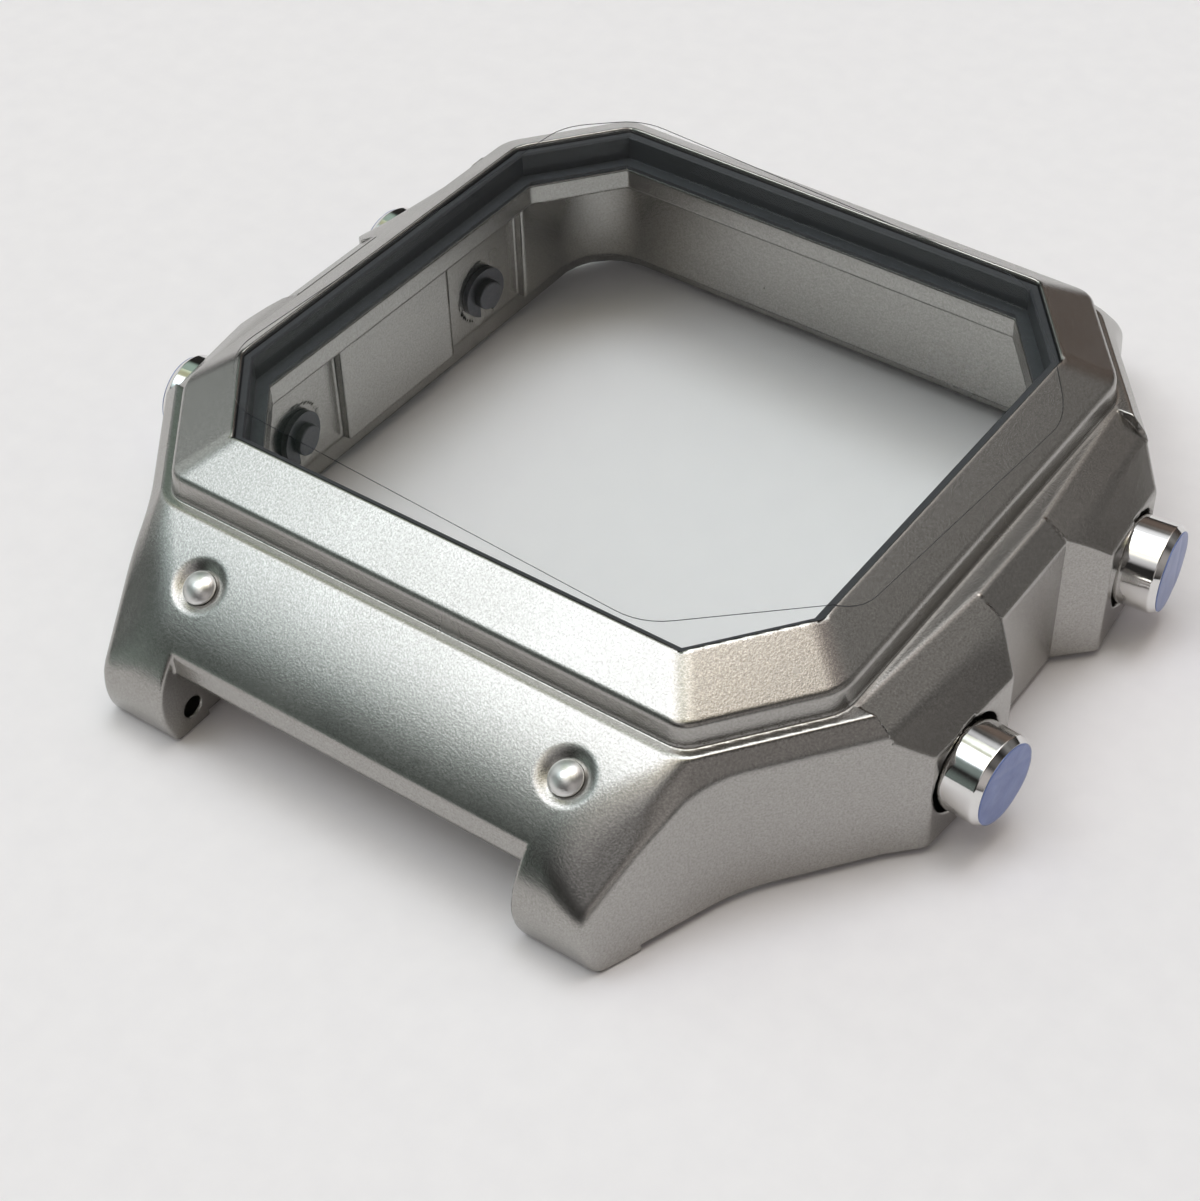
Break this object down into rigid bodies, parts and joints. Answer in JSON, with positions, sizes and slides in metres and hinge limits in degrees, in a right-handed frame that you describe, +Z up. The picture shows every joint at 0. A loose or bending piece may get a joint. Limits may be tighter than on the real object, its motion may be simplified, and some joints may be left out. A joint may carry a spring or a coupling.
{
  "type": "empty watch case",
  "caption": "Empty metal case for a rectangular wristwatch: clear crystal in an eight-sided bezel, sprung side pushers, and lugs with spring-bar holes for a strap.",
  "frame": {"origin": "on the table, below the middle of the case, which lies on its lug pads", "axes": "+X towards the 3 o'clock side, +Y towards the 12 o'clock end, +Z up through the crystal"},
  "size_m": [0.0437, 0.045, 0.0105],
  "materials": {
    "body": "bead-blasted stainless steel, satin, fine grain",
    "crystal": "clear polished mineral glass",
    "gasket": "black moulded ring",
    "clear_film": "thin clear protective film",
    "stud": "polished steel dome",
    "pusher": "turned and polished steel",
    "blue_film": "blue-lilac protective film, faintly wrinkled",
    "spring": "drawn spring wire",
    "seal": "black seal ring",
    "clip": "stamped spring steel, dark"
  },
  "bodies": {
    "case": {"case_body": "body", "crystal": "crystal", "crystal_gasket": "gasket", "crystal_film": "clear_film", "stud_top_right": "stud", "stud_bottom_right": "stud", "stud_top_left": "stud", "stud_bottom_left": "stud", "spring_top_right": "spring", "spring_bottom_right": "spring", "spring_top_left": "spring", "spring_bottom_left": "spring"},
    "pusher_top_right": {"pusher_top_right": "pusher", "seal_top_right": "seal", "clip_top_right": "clip", "pusher_film_top_right": "blue_film"},
    "pusher_bottom_right": {"pusher_bottom_right": "pusher", "seal_bottom_right": "seal", "clip_bottom_right": "clip", "pusher_film_bottom_right": "blue_film"},
    "pusher_top_left": {"pusher_top_left": "pusher", "seal_top_left": "seal", "clip_top_left": "clip", "pusher_film_top_left": "blue_film"},
    "pusher_bottom_left": {"pusher_bottom_left": "pusher", "seal_bottom_left": "seal", "clip_bottom_left": "clip", "pusher_film_bottom_left": "blue_film"}
  },
  "joints": [
    {"name": "pusher_top_right_press", "type": "slide", "parent": "case", "child": "pusher_top_right", "axis": [-0.9957, -0.0931, 0], "range_m": [0, 0.0009], "stiffness_N_per_m": 900, "deforming": ["spring_top_right"]},
    {"name": "pusher_bottom_right_press", "type": "slide", "parent": "case", "child": "pusher_bottom_right", "axis": [-0.9957, 0.0931, 0], "range_m": [0, 0.0009], "stiffness_N_per_m": 900, "deforming": ["spring_bottom_right"]},
    {"name": "pusher_top_left_press", "type": "slide", "parent": "case", "child": "pusher_top_left", "axis": [0.9957, -0.0931, 0], "range_m": [0, 0.0009], "stiffness_N_per_m": 900, "deforming": ["spring_top_left"]},
    {"name": "pusher_bottom_left_press", "type": "slide", "parent": "case", "child": "pusher_bottom_left", "axis": [0.9957, 0.0931, 0], "range_m": [0, 0.0009], "stiffness_N_per_m": 900, "deforming": ["spring_bottom_left"]}
  ]
}
